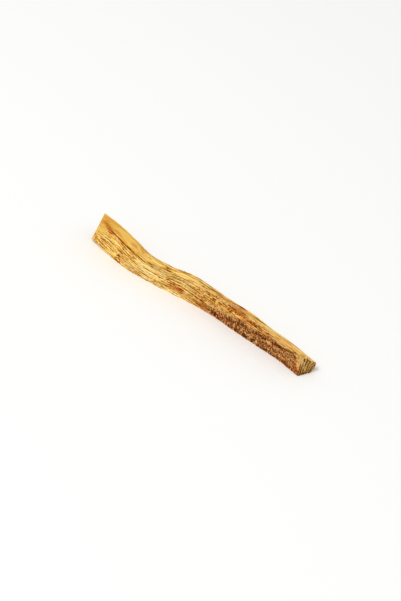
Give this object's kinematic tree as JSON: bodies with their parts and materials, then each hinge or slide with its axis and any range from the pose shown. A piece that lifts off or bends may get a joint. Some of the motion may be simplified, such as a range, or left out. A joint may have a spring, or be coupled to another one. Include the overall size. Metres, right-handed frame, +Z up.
{
  "type": "palo santo stick",
  "caption": "Short bent stick of split aromatic wood with four cloven faces and two sawn ends, lying flat.",
  "frame": {"origin": "under the middle of the stick, on the surface that it lies on", "axes": "+X along the stick towards its near sawn end, +Y to its far side, +Z up"},
  "size_m": [0.1018, 0.0124, 0.0106],
  "materials": {
    "wood": "split and sawn, unfinished, resinous"
  },
  "bodies": {
    "root": {"stick": "wood"}
  },
  "joints": []
}
